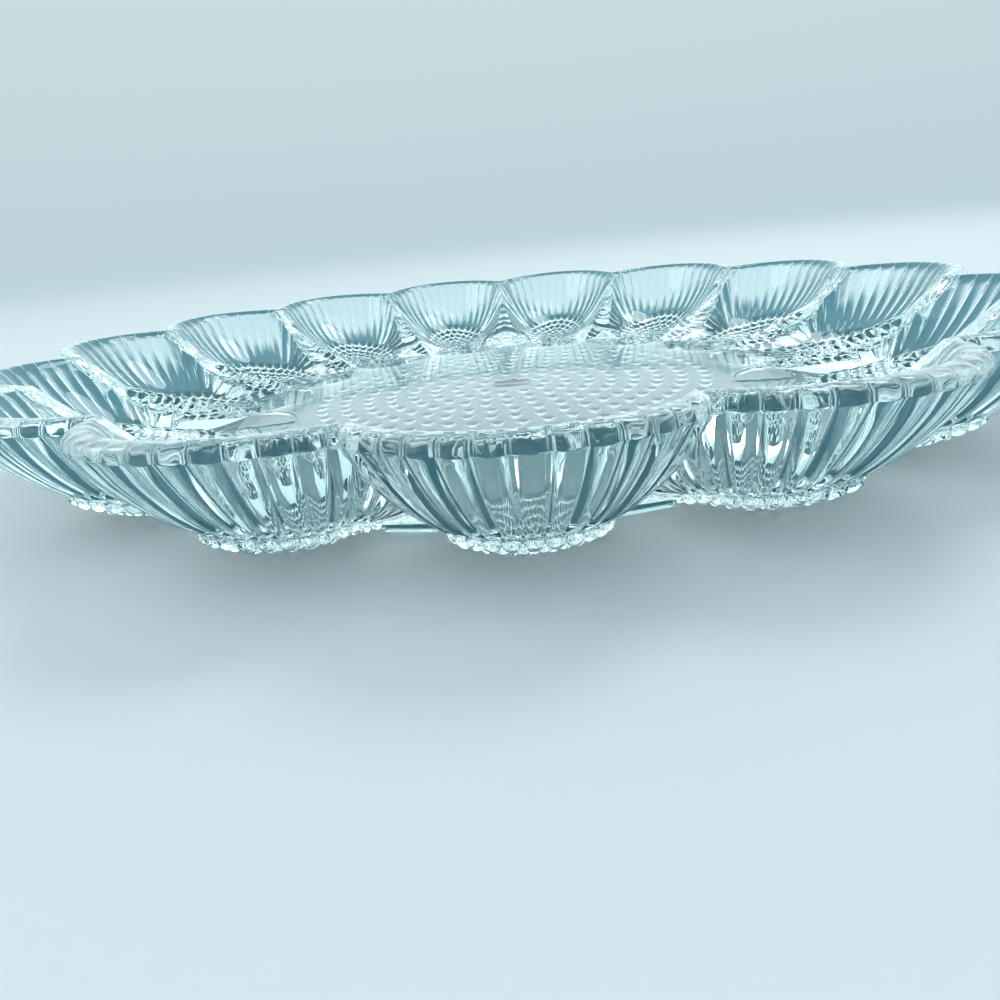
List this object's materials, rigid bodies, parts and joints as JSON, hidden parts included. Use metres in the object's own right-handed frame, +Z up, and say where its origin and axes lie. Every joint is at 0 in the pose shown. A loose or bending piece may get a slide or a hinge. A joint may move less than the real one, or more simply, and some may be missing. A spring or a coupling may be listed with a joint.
{
  "type": "deviled egg platter",
  "caption": "Round pressed-glass egg platter: a flat hobnail disc ringed by fluted egg-shaped wells, with a scalloped rim and a foot ring.",
  "frame": {"origin": "centre of the foot ring, on the table", "axes": "+Z up along the platter's axis, -Y through the middle of the first egg well"},
  "size_m": [0.2888, 0.2877, 0.0295],
  "materials": {
    "clear_glass": "fire-polished pressed glass, clear with a faint grey-green cast in thick places"
  },
  "bodies": {
    "root": {"centre_disc": "clear_glass", "foot_ring": "clear_glass", "egg_well_01": "clear_glass", "egg_well_02": "clear_glass", "egg_well_03": "clear_glass", "egg_well_04": "clear_glass", "egg_well_05": "clear_glass", "egg_well_06": "clear_glass", "egg_well_07": "clear_glass", "egg_well_08": "clear_glass", "egg_well_09": "clear_glass", "egg_well_10": "clear_glass", "egg_well_11": "clear_glass", "egg_well_12": "clear_glass", "egg_well_13": "clear_glass", "egg_well_14": "clear_glass", "egg_well_15": "clear_glass"}
  },
  "joints": []
}
